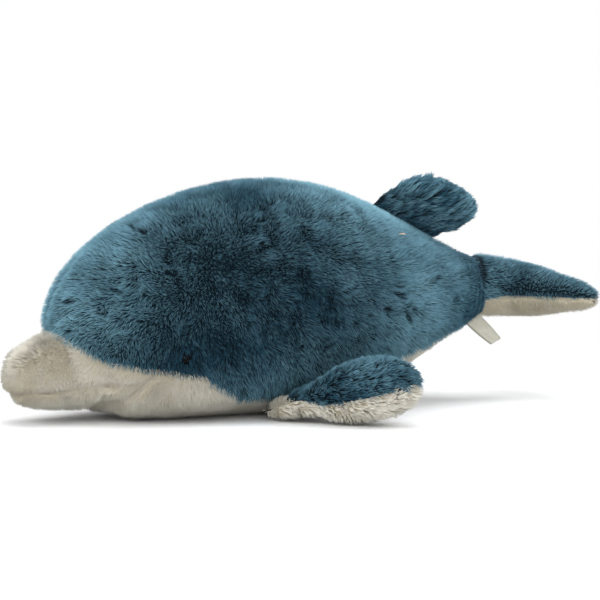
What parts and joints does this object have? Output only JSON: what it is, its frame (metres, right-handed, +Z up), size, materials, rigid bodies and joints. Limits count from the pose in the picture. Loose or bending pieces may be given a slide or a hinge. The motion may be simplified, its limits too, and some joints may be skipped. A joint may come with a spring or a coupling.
{
  "type": "plush dolphin",
  "caption": "Stuffed pile fabric dolphin that lies on its belly, with sewn flippers, dorsal fin and tail fluke that flex at their seams.",
  "frame": {"origin": "on the floor, under the middle of the toy's length and width", "axes": "-X towards the beak, +X towards the tail, -Y to the dolphin's left, +Z up"},
  "size_m": [0.5192, 0.3316, 0.1992],
  "materials": {
    "blue_plush": "blue-grey pile, about 10 mm long",
    "white_plush": "off-white pile, about 10 mm long",
    "fibre_fill": "loose white fibre",
    "black_eye": "polished",
    "white_washer": "plain moulded",
    "tag_ribbon": "woven satin ribbon, blank"
  },
  "bodies": {
    "torso": {"left_side_panel": "blue_plush", "right_side_panel": "blue_plush", "belly_panel": "white_plush", "upper_beak_panel": "white_plush", "lower_jaw_panel": "white_plush", "body_filling": "fibre_fill", "left_eye": "black_eye", "right_eye": "black_eye", "left_eye_washer": "white_washer", "right_eye_washer": "white_washer"},
    "left_flipper": {"left_flipper_top_panel": "blue_plush", "left_flipper_underside_panel": "white_plush", "left_flipper_filling": "fibre_fill"},
    "right_flipper": {"right_flipper_top_panel": "blue_plush", "right_flipper_underside_panel": "white_plush", "right_flipper_filling": "fibre_fill"},
    "dorsal_fin": {"dorsal_fin_left_panel": "blue_plush", "dorsal_fin_right_panel": "blue_plush", "dorsal_fin_filling": "fibre_fill"},
    "tail_fluke": {"fluke_top_panel": "blue_plush", "fluke_underside_panel": "white_plush", "fluke_filling": "fibre_fill"},
    "tag": {"sewn_tag": "tag_ribbon"}
  },
  "joints": [
    {"name": "left_flipper_flap", "type": "hinge", "parent": "torso", "child": "left_flipper", "pos_m": [-0.02277, -0.0775, 0.01611], "axis": [-0.9732, 0.0589, -0.2222], "range_deg": [-30, 30], "stiffness_Nm_per_rad": 0.08},
    {"name": "right_flipper_flap", "type": "hinge", "parent": "torso", "child": "right_flipper", "pos_m": [-0.02277, 0.0775, 0.01611], "axis": [0.9732, 0.0589, 0.2222], "range_deg": [-30, 30], "stiffness_Nm_per_rad": 0.08},
    {"name": "dorsal_fin_flop", "type": "hinge", "parent": "torso", "child": "dorsal_fin", "pos_m": [0.09755, 0, 0.16427], "axis": [0.9092, 0, -0.4164], "range_deg": [-40, 40], "stiffness_Nm_per_rad": 0.03},
    {"name": "tail_fluke_bend", "type": "hinge", "parent": "torso", "child": "tail_fluke", "pos_m": [0.20954, 0, 0.099], "axis": [0, -1, 0], "range_deg": [-35, 30], "stiffness_Nm_per_rad": 0.3},
    {"name": "tag_flip", "type": "hinge", "parent": "torso", "child": "tag", "pos_m": [0.1642, -0.01924, 0.06791], "axis": [0.8682, 0.297, 0.3975], "range_deg": [-25, 25], "stiffness_Nm_per_rad": 0.0002}
  ]
}
